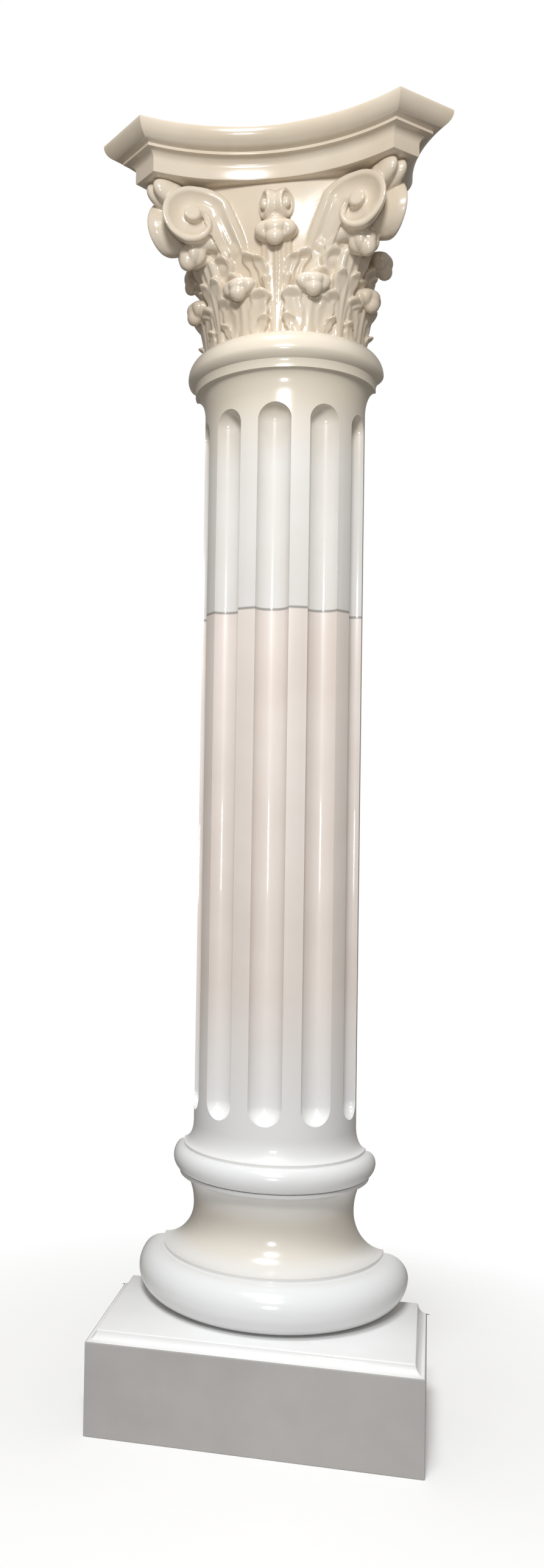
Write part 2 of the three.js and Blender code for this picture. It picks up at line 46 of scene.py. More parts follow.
lens = bpy.data.cameras.new("camera")
lens.sensor_fit = "AUTO"
lens.sensor_width = 36
lens.lens = 28.65
lens.shift_x = 0.0746
camera = bpy.data.objects.new("camera", lens)
bpy.context.collection.objects.link(camera)
turn = Matrix((camera_right, camera_up, -camera_forward)).transposed()
camera.matrix_world = Matrix.Translation(camera_place) @ turn.to_4x4()
bpy.context.scene.camera = camera

# Plain studio light: a pale room that is dimmer and warmer towards the floor, a lamp high in
# front, whose reflection draws the crisp highlights on the enamel, a weaker one just above
# the camera's height, and a soft light from above that leaves the undersides in shade.
bpy.context.scene.view_settings.view_transform = "Standard"
room = bpy.data.worlds.new("room")
bpy.context.scene.world = room
room.use_nodes = True
walls = room.node_tree
walls.nodes.clear()
direction = walls.nodes.new("ShaderNodeTexCoord")
height_in_room = walls.nodes.new("ShaderNodeSeparateXYZ")
brightness = walls.nodes.new("ShaderNodeMapRange")
soft_fill = walls.nodes.new("ShaderNodeBackground")
white_paper = walls.nodes.new("ShaderNodeBackground")
seen = walls.nodes.new("ShaderNodeLightPath")
either = walls.nodes.new("ShaderNodeMixShader")
room_out = walls.nodes.new("ShaderNodeOutputWorld")
for name, value in (("From Min", -0.7), ("From Max", 0.8), ("To Min", 0.13), ("To Max", 0.35)):
    brightness.inputs[name].default_value = value
soft_fill.inputs[0].default_value = (1.0, 0.94, 0.865, 1)
white_paper.inputs[0].default_value = (1, 1, 1, 1)
walls.links.new(direction.outputs["Generated"], height_in_room.inputs[0])
walls.links.new(height_in_room.outputs["Z"], brightness.inputs[0])
walls.links.new(brightness.outputs[0], soft_fill.inputs[1])
walls.links.new(seen.outputs["Is Camera Ray"], either.inputs[0])
walls.links.new(soft_fill.outputs[0], either.inputs[1])
walls.links.new(white_paper.outputs[0], either.inputs[2])
walls.links.new(either.outputs[0], room_out.inputs[0])
lamps = [
    ("lamp_key", (0.25, -2.5, 3.0), 0.5, 56, (0.97, 0.985, 1.0)),
    ("lamp_low", (0.35, -3.4, 1.5), 0.5, 17, (0.95, 0.975, 1.0)),
]
lamps_aim = Vector((0, 0.05, 1.6))
for name, place, size, power, colour in lamps:
    lamp = bpy.data.lights.new(name, "AREA")
    lamp.shape = "SQUARE"
    lamp.size = size
    lamp.energy = power
    lamp.color = colour
    holder = bpy.data.objects.new(name, lamp)
    bpy.context.collection.objects.link(holder)
    holder.location = place
    holder.rotation_euler = (lamps_aim - Vector(place)).to_track_quat("-Z", "Y").to_euler()
skylight = bpy.data.lights.new("skylight", "SUN")
skylight.energy = 1.6
skylight.angle = radians(16)
skylight.color = (0.95, 0.98, 1.0)
holder = bpy.data.objects.new("skylight", skylight)
bpy.context.collection.objects.link(holder)
skylight_way = Vector((0.06, 0.38, -1.0))
holder.rotation_euler = skylight_way.to_track_quat("-Z", "Y").to_euler()

# The plinth is a square slab cast on its own, with a hollow moulding round its top edge.
# Its upright faces are a darker matt grey-beige, partly primer and partly painted shade,
# and its top has the white enamel.


class Socket:
    """A shader socket that can be used in an expression."""

    def __init__(self, finish, link):
        self.finish = finish
        self.link = link

    def math(self, operation, left, right):
        node = self.finish.add("ShaderNodeMath", {"operation": operation}, {0: left, 1: right})
        return Socket(self.finish, node.outputs[0])

    def __add__(self, other):
        return self.math("ADD", self, other)

    __radd__ = __add__

    def __mul__(self, other):
        return self.math("MULTIPLY", self, other)

    __rmul__ = __mul__

    def __sub__(self, other):
        return self.math("SUBTRACT", self, other)

    def __rsub__(self, other):
        return self.math("SUBTRACT", other, self)


class Finish:
    """One material and the nodes that make it."""

    def __init__(self, name):
        self.material = bpy.data.materials.new(name)
        self.material.use_nodes = True
        self.tree = self.material.node_tree
        self.tree.nodes.clear()
        self.place = Socket(self, self.add("ShaderNodeTexCoord", {}, {}).outputs["Object"])

    def add(self, kind, settings, values):
        node = self.tree.nodes.new(kind)
        for name, setting in settings.items():
            setattr(node, name, setting)
        for key, value in values.items():
            if isinstance(value, Socket):
                self.tree.links.new(value.link, node.inputs[key])
            else:
                node.inputs[key].default_value = value
        return node

    def noise(self, scale, detail, roughness=0.5):
        values = {"Vector": self.place, "Scale": scale, "Detail": detail, "Roughness": roughness}
        return Socket(self, self.add("ShaderNodeTexNoise", {}, values).outputs[0])

    def range(self, value, low, high, to_low, to_high):
        values = {0: value, 1: low, 2: high, 3: to_low, 4: to_high}
        return Socket(self, self.add("ShaderNodeMapRange", {}, values).outputs[0])

    def math_of(self, operation, value):
        return Socket(self, self.add("ShaderNodeMath", {"operation": operation}, {0: value}).outputs[0])

    def blend(self, share, first, second):
        values = {0: share, 6: first, 7: second}
        return Socket(self, self.add("ShaderNodeMix", {"data_type": "RGBA"}, values).outputs[2])

    def bump(self, height, strength, distance):
        values = {"Height": height, "Strength": strength, "Distance": distance}
        return Socket(self, self.add("ShaderNodeBump", {}, values).outputs[0])

    def done(self, values):
        shader = self.add("ShaderNodeBsdfPrincipled", {}, values)
        out = self.add("ShaderNodeOutputMaterial", {}, {})
        self.tree.links.new(shader.outputs[0], out.inputs[0])
        return self.material


def enamel(name, pale, warm, shine, seam_shade_height=None, painted_shading_fades=()):
    """Sprayed enamel on plaster: faint clouds of tone, a soft unevenness, dust, painted shade
    along a seam's groove, and painted light and shade fading to another tone between heights."""
    finish = Finish(name)
    clouds = finish.noise(5.5, 3)
    waves = finish.noise(16, 2)
    grain = finish.noise(240, 2)
    dust = finish.range(finish.noise(46, 5, 0.62), 0.64, 0.78, 0, 0.5)
    tone = finish.blend(finish.range(clouds, 0.35, 0.68, 0, 1), pale, warm)
    dusty = [channel * 0.86 for channel in warm[:3]] + [1]
    colour = finish.blend(dust * 0.5, tone, dusty)
    parts = finish.add("ShaderNodeSeparateXYZ", {}, {0: finish.place})
    height = Socket(finish, parts.outputs["Z"])
    # Painted light and shade: each fade turns the enamel to another tone between two heights, for the light
    # and shade that fall there.
    for start, end, tone in painted_shading_fades:
        colour = finish.blend(finish.range(height, start, end, 0, 1), colour, tone)
    # Painted shade: a dark line along the seam, darkest within about a millimetre of its height, for the
    # shade in the seam's groove.
    if seam_shade_height is not None:
        away = finish.math_of("ABSOLUTE", height - seam_shade_height)
        seam_shade_colour = [channel * 0.42 for channel in warm[:3]] + [1]
        colour = finish.blend(finish.range(away, 0.0012, 0.0040, 0.9, 0), colour, seam_shade_colour)
    return finish.done({
        "Base Color": colour,
        "Roughness": shine + clouds * 0.08 + grain * 0.05,
        "Coat Weight": 0.45,
        "Coat Roughness": 0.06,
        "Normal": finish.bump(waves * 0.9 + grain * 0.1, 0.16, 0.0012),
    })


plinth_half = 0.335
plinth_front = -0.1675
wall = 0.1675
plinth_height = 0.207
mould_height = 0.020
mould_inset = 0.019
edge_ease = 0.0025

bpy.ops.object.select_all(action="DESELECT")
bpy.ops.mesh.primitive_cube_add(size=1)
plinth = bpy.context.object
plinth.name = "plinth_casting"
for corner in plinth.data.vertices:
    corner.co.x *= 2 * plinth_half
    corner.co.y *= wall - plinth_front
    corner.co.z = (corner.co.z + 0.5) * (plinth_height - mould_height)
bpy.ops.object.mode_set(mode="EDIT")
bpy.ops.mesh.select_mode(type="FACE")
bpy.ops.mesh.select_all(action="DESELECT")
shape = bmesh.from_edit_mesh(plinth.data)
for face in shape.faces:
    face.select_set(face.normal.z > 0.9)
bmesh.update_edit_mesh(plinth.data)
mould_steps = 12
for step in range(1, mould_steps + 1):
    angle = pi / 2 * step / mould_steps
    rise = plinth_height - mould_height * cos(angle)
    inset_next = mould_inset * sin(angle)
    bpy.ops.mesh.extrude_region_move(TRANSFORM_OT_translate={"value": (0, 0, 0)})
    shape = bmesh.from_edit_mesh(plinth.data)
    for corner in shape.verts:
        if corner.select:
            side = 1 if corner.co.x > 0 else -1
            corner.co.x = side * (plinth_half - inset_next)
            if corner.co.y < 0:
                corner.co.y = plinth_front + inset_next
            corner.co.z = rise
    bmesh.update_edit_mesh(plinth.data)
bpy.ops.object.mode_set(mode="OBJECT")
ease = plinth.modifiers.new("ease", "BEVEL")
ease.width = edge_ease
ease.segments = 3
ease.limit_method = "ANGLE"
ease.angle_limit = radians(40)
bpy.ops.object.modifier_apply(modifier="ease")
bpy.ops.object.shade_smooth_by_angle(angle=radians(32))

# Painted shade, in part: the grey-beige of the upright faces is darker than the top's enamel.
shaded_primer = Finish("matt_primer_painted_shade")
stains = shaded_primer.noise(3.2, 5, 0.6)
streaks = shaded_primer.noise(14, 4, 0.55)
grit = shaded_primer.noise(320, 2)
worn = shaded_primer.range(stains * 0.7 + streaks * 0.3, 0.36, 0.66, 0, 1)
plinth_shaded_primer = shaded_primer.done({
    "Base Color": shaded_primer.blend(worn, (0.335, 0.322, 0.31, 1), (0.38, 0.366, 0.352, 1)),
    "Roughness": 0.62 + streaks * 0.2,
    "Normal": shaded_primer.bump(stains * 0.6 + grit * 0.4, 0.22, 0.0012),
})
plinth.data.materials.append(plinth_shaded_primer)
plinth.data.materials.append(
    enamel("plinth_top_enamel", (0.80, 0.80, 0.80, 1), (0.75, 0.745, 0.735, 1), 0.34))
for face in plinth.data.polygons:
    face.material_index = 1 if face.center.z > plinth_height - mould_height else 0
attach(plinth, "root")
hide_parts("plinth")

# The base is one casting: a fat lower torus, a deep hollow between two lips, and a small
# upper torus. It is turned in clay, cast in plaster and sprayed with white enamel.


def turned(name, profile, steps=96):
    """A half-round body, spun from a profile of radius and height and closed at the wall."""
    bpy.ops.object.select_all(action="DESELECT")
    bpy.ops.mesh.primitive_plane_add(size=0.01)
    piece = bpy.context.object
    piece.name = name
    bpy.ops.object.mode_set(mode="EDIT")
    bpy.ops.mesh.select_mode(type="VERT")
    bpy.ops.mesh.select_all(action="SELECT")
    bpy.ops.mesh.merge(type="CENTER")
    shape = bmesh.from_edit_mesh(piece.data)
    shape.verts.ensure_lookup_table()
    shape.verts[0].co = (-profile[0][0], wall, profile[0][1])
    bmesh.update_edit_mesh(piece.data)
    for (radius, z), (radius_next, z_next) in zip(profile, profile[1:]):
        step = (radius - radius_next, 0, z_next - z)
        bpy.ops.mesh.extrude_vertices_move(TRANSFORM_OT_translate={"value": step})
    bpy.ops.mesh.select_all(action="SELECT")
    bpy.ops.mesh.spin(steps=steps, angle=-pi, center=(0, wall, 0), axis=(0, 0, 1))
    bpy.ops.mesh.select_all(action="SELECT")
    bpy.ops.mesh.remove_doubles(threshold=0.00002)
    bpy.ops.mesh.select_all(action="DESELECT")
    bpy.ops.mesh.select_mode(type="EDGE")
    bpy.ops.mesh.select_non_manifold()
    bpy.ops.mesh.edge_face_add()
    bpy.ops.mesh.select_all(action="SELECT")
    bpy.ops.mesh.normals_make_consistent(inside=False)
    bpy.ops.object.mode_set(mode="OBJECT")
    front = min(corner.co.y for corner in piece.data.vertices)
    if front > wall - 0.1:
        raise RuntimeError(name + " was spun behind the wall")
    return piece


def arc(radius, z, reach, rise, start, end, steps=14):
    """Points of a moulding's curve in a profile of radius and height."""
    angles = [radians(start + (end - start) * i / steps) for i in range(steps + 1)]
    return [(radius + reach * cos(angle), z + rise * sin(angle)) for angle in angles]


shaft_radius = 0.179
base_foot = 0.207
base_top = 0.524
torus_seat = shaft_radius + 0.065
torus_top = 0.307
lip_radius = torus_seat - 0.003
throat = shaft_radius - 0.003
hollow_foot = torus_top + 0.007
ring_foot = base_top - 0.052
hollow_head = ring_foot - 0.008
throat_level = hollow_foot + 0.52 * (hollow_head - hollow_foot)
ring_seat = shaft_radius + 0.023
ring_lip = ring_seat + 0.006
base_profile = [(0, base_foot)]
torus_reach = 0.050
ring_reach = 0.020
torus_middle = (base_foot + torus_top) / 2
base_profile += arc(torus_seat, torus_middle, torus_reach, (torus_top - base_foot) / 2, -90, 90, 28)
base_profile += [(lip_radius, torus_top)]
base_profile += arc(lip_radius, throat_level, throat - lip_radius, hollow_foot - throat_level, 90, 0)
base_profile += arc(ring_lip, throat_level, throat - ring_lip, hollow_head - throat_level, 0, 90)[1:]
base_profile += [(ring_lip, ring_foot)]
ring_middle = (ring_foot + base_top) / 2
base_profile += arc(ring_seat, ring_middle, ring_reach, (base_top - ring_foot) / 2, -90, 90, 18)
base_profile += [(0, base_top)]
base = turned("base_casting", base_profile)
bpy.ops.object.shade_smooth_by_angle(angle=radians(38))
# Painted shade: the enamel turns warm beige in the hollow between the lips, fading in below 0.47 m and back
# to white below 0.34 m.
base.data.materials.append(
    enamel("base_enamel", (0.755, 0.76, 0.765, 1), (0.735, 0.735, 0.73, 1), 0.13, None,
           ((0.47, 0.40, (0.70, 0.655, 0.585, 1)), (0.34, 0.30, (0.745, 0.75, 0.755, 1)))))
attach(base, "root")
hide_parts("base")

# The shaft is two plaster castings, one on the other, with satin enamel on the lower and
# glossy enamel on the upper. Five round flutes with ball ends run through both, and the
# edges at the seam are eased, also inside the flutes.
seam = 1.692
neck_top = 2.278
flute_radius = 0.036
flute_spacing = 36
flute_foot = base_top + 0.078
flute_head = neck_top - 0.148
seam_ease = 0.003
foot_reach = shaft_radius + 0.021
foot_top = base_top + 0.006
flare_top = foot_top + 0.045
astragal_height = 0.070
astragal_reach = 0.040
neck_flare_height = 0.050
neck_flare_reach = 0.020
neck_foot = neck_top - astragal_height
neck_fillet = neck_foot - 0.012
neck_flare = neck_fillet - neck_flare_height
widest = neck_foot + 0.37 * astragal_height
fillet_radius = shaft_radius + 0.023
neck_radius = 0.176
lower_profile = [(0, base_top), (foot_reach, base_top)]
lower_profile += arc(foot_reach, flare_top, shaft_radius - foot_reach, foot_top - flare_top, 90, 0)
lower_profile += [(shaft_radius, seam), (0, seam)]
upper_profile = [(0, seam), (shaft_radius, seam)]
upper_profile += arc(shaft_radius + neck_flare_reach, neck_flare, -neck_flare_reach, neck_flare_height, 0, 90)
upper_profile += [(fillet_radius, neck_fillet), (fillet_radius, neck_foot)]
upper_profile += arc(shaft_radius, widest, astragal_reach, widest - neck_foot, -50, 0, 10)
upper_profile += arc(shaft_radius, widest, astragal_reach, neck_top - widest, 0, 90, 18)[1:]
upper_profile += [(neck_radius, neck_top), (0, neck_top)]

bpy.ops.object.select_all(action="DESELECT")
bpy.ops.mesh.primitive_uv_sphere_add(segments=64, ring_count=32, radius=flute_radius)
flute = bpy.context.object
flute.name = "flute_former"
for corner in flute.data.vertices:
    corner.co.z += flute_head - flute_radius if corner.co.z > 0.0001 else flute_foot + flute_radius
    corner.co.y += wall - shaft_radius


def fluted(name, profile):
    """A drum of the shaft with its flutes cut and its edges at the seam eased."""
    drum = turned(name, profile, 144)
    for place in range(-2, 3):
        former = flute.copy()
        former.data = flute.data.copy()
        bpy.context.collection.objects.link(former)
        turned_by = Matrix.Rotation(radians(place * flute_spacing), 4, "Z")
        former.data.transform(
            Matrix.Translation((0, wall, 0)) @ turned_by @ Matrix.Translation((0, -wall, 0)))
        cut = drum.modifiers.new("flute", "BOOLEAN")
        cut.operation = "DIFFERENCE"
        cut.solver = "EXACT"
        cut.object = former
        bpy.context.view_layer.objects.active = drum
        bpy.ops.object.modifier_apply(modifier="flute")
        bpy.data.objects.remove(former, do_unlink=True)
    bpy.ops.object.select_all(action="DESELECT")
    drum.select_set(True)
    bpy.ops.object.mode_set(mode="EDIT")
    bpy.ops.mesh.select_mode(type="EDGE")
    bpy.ops.mesh.select_all(action="DESELECT")
    shape = bmesh.from_edit_mesh(drum.data)
    for edge in shape.edges:
        ends = edge.verts
        level = all(abs(corner.co.z - seam) < 0.0002 for corner in ends)
        at_wall = all(corner.co.y > wall - 0.0002 for corner in ends)
        rim = len(edge.link_faces) == 2 and edge.calc_face_angle(0) > radians(60)
        edge.select_set(level and rim and not at_wall)
    bmesh.update_edit_mesh(drum.data)
    bpy.ops.mesh.bevel(offset=seam_ease, segments=4, affect="EDGES", clamp_overlap=True)
    bpy.ops.object.mode_set(mode="OBJECT")
    bpy.ops.object.shade_smooth_by_angle(angle=radians(30))
    return drum


lower_drum = fluted("lower_drum_casting", lower_profile)
# Painted light: the enamel turns paler and cooler towards the drum's foot, below 0.9 m, and a painted shade
# line darkens the seam.
lower_drum.data.materials.append(
    enamel("lower_drum_enamel", (0.735, 0.665, 0.615, 1), (0.685, 0.61, 0.555, 1), 0.30, seam,
           ((0.9, 0.62, (0.74, 0.735, 0.73, 1)),)))
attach(lower_drum, "root")
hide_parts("lower_drum")
upper_drum = fluted("upper_drum_casting", upper_profile)
# Painted shade: the enamel turns warm beige at the neck under the capital, above 2.00 m, and a painted shade
# line darkens the seam.
upper_drum.data.materials.append(
    enamel("upper_drum_enamel", (0.80, 0.78, 0.755, 1), (0.765, 0.735, 0.69, 1), 0.14, seam,
           ((2.00, 2.15, (0.735, 0.66, 0.545, 1)),)))
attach(upper_drum, "root")
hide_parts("upper_drum")
bpy.data.objects.remove(flute, do_unlink=True)

# The capital is one casting from a flexible mould: a bell with three tiers of acanthus,
# scrolls at the corners, a small double scroll between them, and a moulded abacus on top.
# The leaves are modelled as lobes, shells and beads of clay that run together on the bell.
soffit = 2.590
bell_foot = 0.173
bell_head = 0.184
capital_top = 2.674


def bell(z):
    """Radius of the bell at a height."""
    return bell_foot + (bell_head - bell_foot) * max(0, (z - neck_top) / (soffit - neck_top)) ** 2


def at(azimuth, radius, z):
    """The point at an azimuth from the front, a distance from the axis and a height."""
    return Vector((radius * sin(radians(azimuth)), wall - radius * cos(radians(azimuth)), z))


leaf_foot = 2.266
scallop = 0.14
rib_height = 0.08
fold_depth = 0.34
clay_points = []
clay_faces = []


def skin(rings):
    """Closes a row of rings of points into one lump of clay."""
    start = len(clay_points)
    count = len(rings[0])
    for ring in rings:
        clay_points.extend(ring)
    lump = []
    for i in range(len(rings) - 1):
        for j in range(count):
            a = start + i * count + j
            b = start + i * count + (j + 1) % count
            lump.append((a, b, b + count, a + count))
    lump.append(tuple(reversed(range(start, start + count))))
    lump.append(tuple(range(start + (len(rings) - 1) * count, start + len(rings) * count)))
    inside = sum(clay_points[start:], Vector()) / (len(rings) * count)
    volume = 0
    for face in lump:
        first = clay_points[face[0]] - inside
        for left, right in zip(face[1:], face[2:]):
            volume += first.dot((clay_points[left] - inside).cross(clay_points[right] - inside))
    clay_faces.extend(lump if volume > 0 else [tuple(reversed(face)) for face in lump])


def bead(azimuth, radius, z, across, out, up, lean=0):
    """An egg of clay on an azimuth, leaned outwards at its foot by an angle."""
    rings = []
    for i in range(1, 14):
        level = cos(pi * i / 14)
        size = sin(pi * i / 14)
        ring = []
        for j in range(20):
            side = across * size * cos(2 * pi * j / 20)
            depth = out * size * sin(2 * pi * j / 20)
            height = up * level
            depth_leaned = depth * cos(lean) - height * sin(lean)
            height_leaned = depth * sin(lean) + height * cos(lean)
            spot = at(azimuth, radius + depth_leaned, z + height_leaned)
            spot += Vector((cos(radians(azimuth)), sin(radians(azimuth)), 0)) * side
            ring.append(spot)
        rings.append(ring)
    skin(rings)


def spoon(azimuth, foot, head, stand, half_width, thick, dish, ribs=0):
    """A lobe of a leaf, from its foot (turn, z) to its round head. It widens as it rises,
    leans off the bell, and is a thick scalloped pad that is dished or ribbed down its front."""
    rings = []
    steps = 36
    length = head[1] - foot[1]
    for i in range(steps + 1):
        t = 1 - (1 - i / steps) ** 1.5
        over = max(0, 1 - (1 - t) * length / half_width[1])
        rounding = sqrt(max(0.0016, 1 - over ** 2))
        opened = min(1, t / (0.5 if dish else 0.72))
        half = (half_width[0] + (half_width[1] - half_width[0]) * (3 - 2 * opened) * opened ** 2) * rounding
        half *= 1 + scallop * opened * cos(7 * pi * t) if dish else 1
        body = (thick[0] + (thick[1] - thick[0]) * t) * (0.3 + 0.7 * rounding)
        out = stand[0] + (stand[1] - stand[0]) * t ** 2 + (0.5 * thick[1] * over if dish else 0)
        dished = dish * min(1, 2.5 * t) * max(0, 1 - 1.7 * over)
        turn = foot[0] + (head[0] - foot[0]) * t ** 1.3
        z = foot[1] + length * t
        ring = []
        for j in range(32):
            side = cos(2 * pi * j / 32)
            front = sin(2 * pi * j / 32)
            if front > 0:
                depth = body * sqrt(front) * (1 - dished * front ** 3)
                if ribs:
                    depth += rib_height * half * front * min(1, 2 * t) * cos(pi * side * ribs)
            else:
                depth = (body + out) * front
            place = azimuth + turn + degrees(side * half / (bell(z) + out))
            ring.append(at(place, bell(z) + out + depth, z))
        rings.append(ring)
    skin(rings)


def shell(azimuth, radius, z, half_width, half_depth, half_height, folds):
    """The rolled tip of a leaf: smooth on top, gathered into rounded folds that hang at its edge."""
    rings = []
    for i in range(17):
        t = i / 16
        girth = max(0.08, sin(pi * t)) ** 0.7
        gathered = fold_depth * min(1, 1.5 * t) ** 2
        ring = []
        for j in range(96):
            angle = 2 * pi * j / 96
            fold = 1 - gathered * (1 - abs(cos(folds * (angle - pi / 2) / 2)) ** 0.8)
            turn = degrees(cos(angle) * half_width * girth * (0.5 + 0.5 * fold) / radius)
            hang = half_height * (cos(pi * t) - 0.35 * max(0, t - 0.4) * fold)
            depth = sin(angle) * half_depth * girth * fold
            ring.append(at(azimuth + turn, radius + depth, z + hang))
        rings.append(ring)
    skin(rings)


# The bell itself, and the smooth sheet in front of it that spans from stalk to stalk.
rings = []
for i in range(25):
    z = neck_top - 0.01 + (soffit + 0.014 - neck_top) * i / 24
    rings.append([at(-100 + 200 * j / 100, bell(z), z) for j in range(101)])
skin(rings)
sheet_foot = 2.38
rings = []
for i in range(19):
    t = i / 18
    z = sheet_foot + (soffit + 0.014 - sheet_foot) * t
    reach = 0.166 + 0.036 * sin(pi / 2 * t) ** 0.8
    half = 0.080 + 0.085 * t
    ring = []
    for j in range(17):
        share = j / 8 - 1
        ring.append(Vector((half * share, wall - reach + 0.012 * (1 - t) * share ** 2, z)))
    rings.append(ring + [Vector((half, wall - 0.12, z)), Vector((-half, wall - 0.12, z))])
skin(rings)

# The lower leaves: a ribbed middle, two lobes and two small ones, and a rolled tip.
for azimuth in (-67.5, -22.5, 22.5, 67.5):
    spoon(azimuth, (0, leaf_foot), (0, 2.386), (0.002, 0.020), (0.014, 0.019), (0.008, 0.012), 0, 2)
    for side in (-1, 1):
        spoon(azimuth, (side * 7.5, leaf_foot), (side * 13.6, 2.369), (0.001, 0.013),
              (0.008, 0.020), (0.010, 0.020), 0.5)
        spoon(azimuth, (side * 9, 2.262), (side * 16, 2.316), (-0.002, 0.009),
              (0.008, 0.012), (0.009, 0.016), 0.3)
    shell(azimuth, 0.201, 2.377, 0.041, 0.028, 0.018, 7)
    bead(azimuth, 0.210, 2.364, 0.019, 0.018, 0.020, 0.35)

# The middle leaves: a tall ribbed funnel with three lobes on either side of it.
for azimuth in (-90, 0, 90):
    spoon(azimuth, (0, leaf_foot), (0, 2.496), (-0.004, 0.018), (0.009, 0.031), (0.008, 0.013), 0, 4)
    for side in (-1, 1):
        spoon(azimuth, (side * 4, 2.325), (side * 18.6, 2.450), (-0.012, 0.015),
              (0.008, 0.018), (0.010, 0.021), 0.5)
        spoon(azimuth, (side * 3, 2.325), (side * 11.8, 2.440), (-0.010, 0.016),
              (0.007, 0.0125), (0.010, 0.018), 0.4)
        spoon(azimuth, (side * 3, 2.325), (side * 7.6, 2.402), (-0.010, 0.011),
              (0.005, 0.009), (0.009, 0.013), 0)
    shell(azimuth, 0.206, 2.486, 0.048, 0.031, 0.020, 7)
    bead(azimuth, 0.217, 2.470, 0.020, 0.018, 0.022, 0.35)

# The corner leaves: lobes in three tiers, and a tip that rolls out under two hoods.
for azimuth in (-45, 45):
    spoon(azimuth, (0, leaf_foot), (0, 2.462), (0.002, 0.052), (0.010, 0.028), (0.009, 0.013), 0, 3)
    for side in (-1, 1):
        spoon(azimuth, (side * 3, 2.275), (side * 11.6, 2.454), (-0.006, 0.029),
              (0.008, 0.022), (0.010, 0.022), 0.5)
        spoon(azimuth, (side * 4, 2.270), (side * 17.4, 2.414), (-0.006, 0.015),
              (0.007, 0.016), (0.010, 0.018), 0.45)
        spoon(azimuth, (side * 2, 2.275), (side * 5.4, 2.412), (-0.002, 0.036),
              (0.006, 0.014), (0.010, 0.014), 0.3)
        spoon(azimuth, (side * 5, 2.262), (side * 15.5, 2.358), (-0.004, 0.010),
              (0.007, 0.015), (0.009, 0.017), 0.45)
        bead(azimuth + side * 7, 0.184, 2.436, 0.036, 0.030, 0.026)
        bead(azimuth + side * 9, 0.190, 2.466, 0.036, 0.028, 0.026)
        bead(azimuth + side * 11, 0.200, 2.461, 0.022, 0.024, 0.020)
        arch = []
        for i in range(19):
            t = i / 18
            thick = 0.013 + 0.012 * t
            z = 2.450 + 0.030 * sin(pi * min(1, 1.15 * t) / 1.5) - 0.012 * t ** 3
            middle = at(azimuth + side * (14 - 13 * t), 0.205 + 0.060 * t, z)
            ahead = at(azimuth + side * (14 - 13 * (t + 0.05)), 0.208 + 0.060 * t, z)
            out = (ahead - middle).normalized().cross(Vector((0, 0, 1))).normalized()
            ring = []
            for j in range(16):
                spot = middle + out * thick * cos(2 * pi * j / 16)
                ring.append(spot + Vector((0, 0, 0.85 * thick * sin(2 * pi * j / 16))))
            arch.append(ring)
        skin(arch)
    bead(azimuth, 0.206, 2.474, 0.050, 0.030, 0.030)
    shell(azimuth, 0.256, 2.456, 0.033, 0.034, 0.022, 7)
    bead(azimuth, 0.268, 2.447, 0.019, 0.021, 0.027, 0.35)

# The corner scrolls: a channelled band that rises as a stalk and winds round a button.
hollow_radius = 0.435
waist = 0.219
horn_reach = 0.383
eye_across = 0.171
eye_z = soffit - 0.071
scroll_radius = 0.060
eye_radius = 0.016
setback = 0.010
stalk_foot = soffit - 0.200
stalk_outer = 0.040
stalk_inner = 0.086
wind_start = 155
wind_turn = 385
stalk_steps = 16
wind_steps = 70
lap = 51


def hollow(across, outward=0.0):
    """Distance of the abacus face from the axis, at a place across it."""
    return waist + outward + hollow_radius - sqrt(hollow_radius ** 2 - across ** 2)


def scroll_edge(angle):
    """Distance of the scroll's outer edge from its eye."""
    wound = min(1, max(0, (-75 - angle) / 150)) * pi / 2
    spread = min(1, max(0, (angle - 95) / 60))
    inward = sin(wound) * (1 - 0.6 * cos(wound))
    return scroll_radius * (1 + 0.3 * spread ** 1.5) - (scroll_radius - eye_radius) * inward


